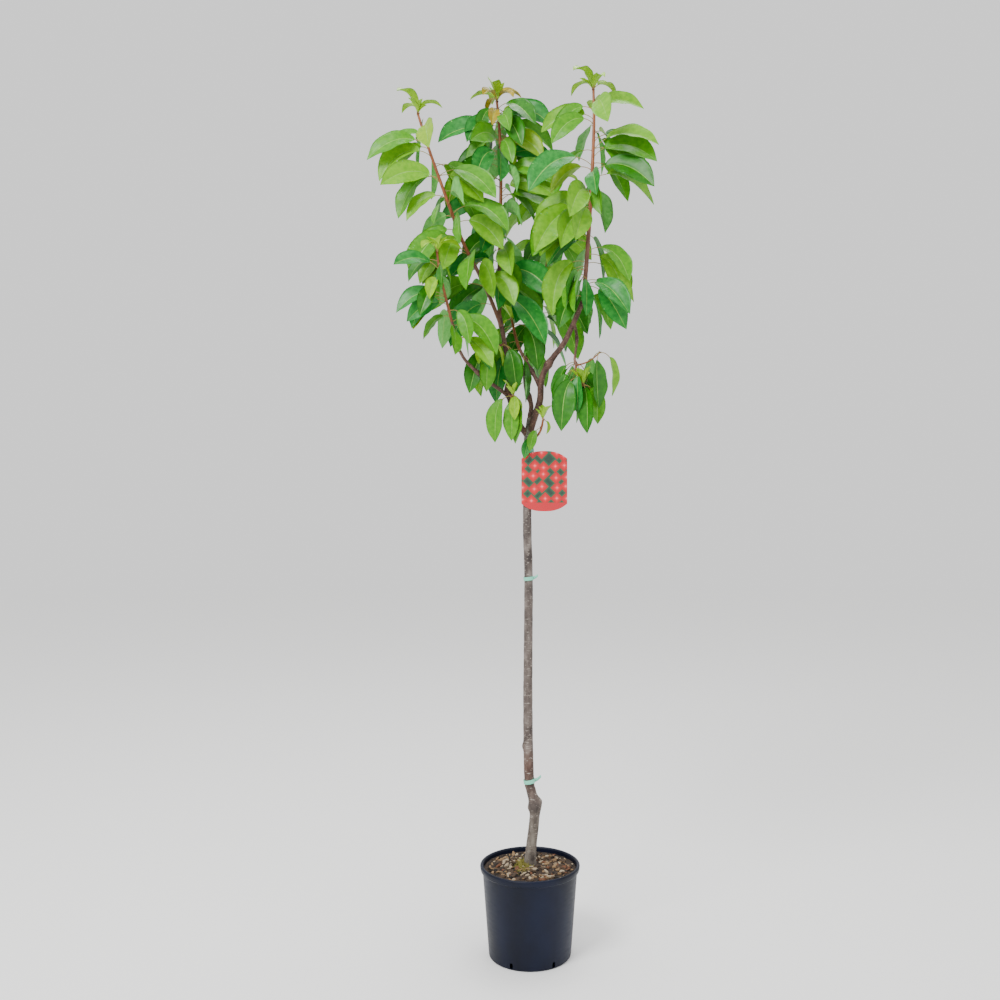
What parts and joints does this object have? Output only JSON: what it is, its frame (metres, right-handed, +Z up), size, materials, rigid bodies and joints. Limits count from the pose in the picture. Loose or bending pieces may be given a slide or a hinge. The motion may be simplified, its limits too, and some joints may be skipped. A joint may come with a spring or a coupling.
{
  "type": "potted sweet cherry tree",
  "caption": "Young bigarreau cherry tree in a dark nursery pot, with upright leafy leaders, a hanging picture label on a strap and soft ties round the trunk",
  "frame": {"origin": "centre of the pot's flat underside", "axes": "+Z up along the trunk; the front, with the label, faces -Y; +X is to the right seen from the front"},
  "size_m": [0.7983, 0.5807, 2.4837],
  "materials": {
    "pot_plastic": "satin",
    "compost": "matte",
    "trunk_bark": "matte",
    "bough_bark": "matte",
    "leaf": "satin",
    "label_card": "gloss",
    "strap": "satin",
    "tie_tape": "satin"
  },
  "bodies": {
    "root": {"pot": "pot_plastic", "soil": "compost", "trunk": "trunk_bark", "left_bough": "bough_bark", "right_bough": "bough_bark", "back_bough": "bough_bark", "left_low_bough": "bough_bark", "inner_bough": "bough_bark", "right_low_bough": "bough_bark", "centre_leader_leaves": "leaf", "left_leader_leaves": "leaf", "right_leader_leaves": "leaf", "left_low_leaves": "leaf", "back_leaves": "leaf", "inner_leaves": "leaf", "right_low_leaves": "leaf", "left_spur_leaves": "leaf", "knob_spur_leaves": "leaf", "fork_twig_leaves": "leaf", "label": "label_card", "label_strap": "strap", "lower_tie": "tie_tape", "upper_tie": "tie_tape"}
  },
  "joints": []
}
